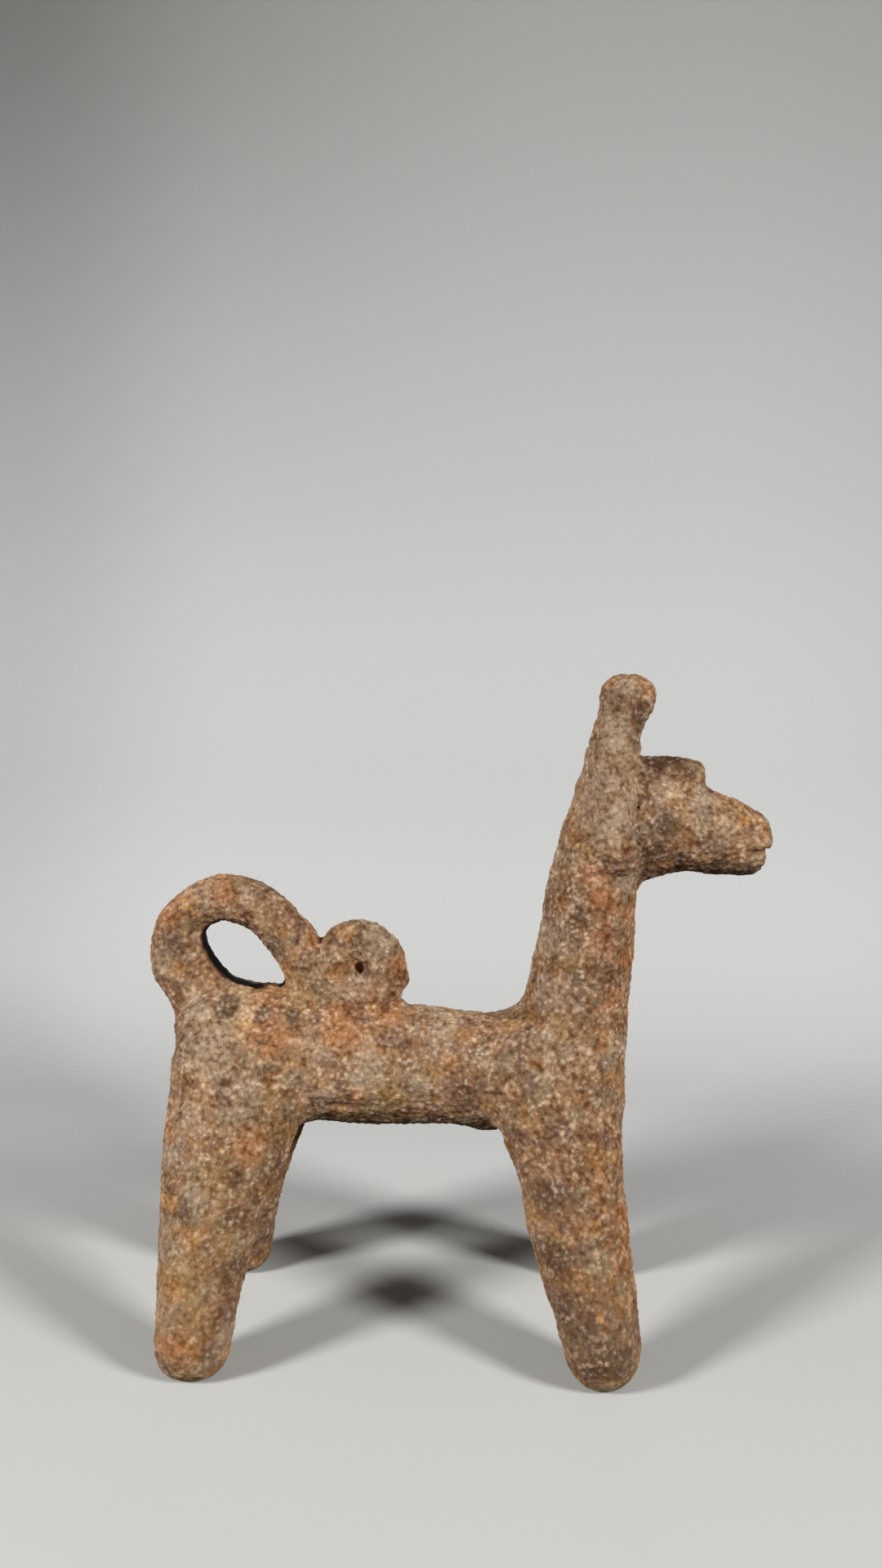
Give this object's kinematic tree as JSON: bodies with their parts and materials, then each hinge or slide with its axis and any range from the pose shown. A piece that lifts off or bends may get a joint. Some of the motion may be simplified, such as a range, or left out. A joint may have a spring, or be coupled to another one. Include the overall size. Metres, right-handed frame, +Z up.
{
  "type": "dog figurine",
  "caption": "Hand-modelled terracotta dog on splayed tapering legs, with an upright neck, a slit-mouthed wedge head, knobbed ears and a tail that arches over the rump into a tight curl.",
  "frame": {"origin": "on the floor, under the middle of the figure's box", "axes": "+X the way the dog looks, +Y its left side, +Z up"},
  "size_m": [0.1852, 0.0844, 0.198],
  "materials": {
    "clay_body": "matt, gritty, mottled brown fired clay",
    "clay_rust": "matt, gritty fired clay with rust-orange patches",
    "clay_pale": "matt, gritty fired clay, greyer and paler",
    "clay_dark": "matt, gritty fired clay with a dark crust"
  },
  "bodies": {
    "root": {"trunk": "clay_body", "neck": "clay_rust", "head": "clay_body", "brow_pad": "clay_dark", "ear_right": "clay_pale", "ear_left": "clay_pale", "tail_loop": "clay_body", "tail_curl": "clay_pale", "leg_front_right": "clay_rust", "leg_front_left": "clay_rust", "leg_rear_right": "clay_rust", "leg_rear_left": "clay_rust"}
  },
  "joints": []
}
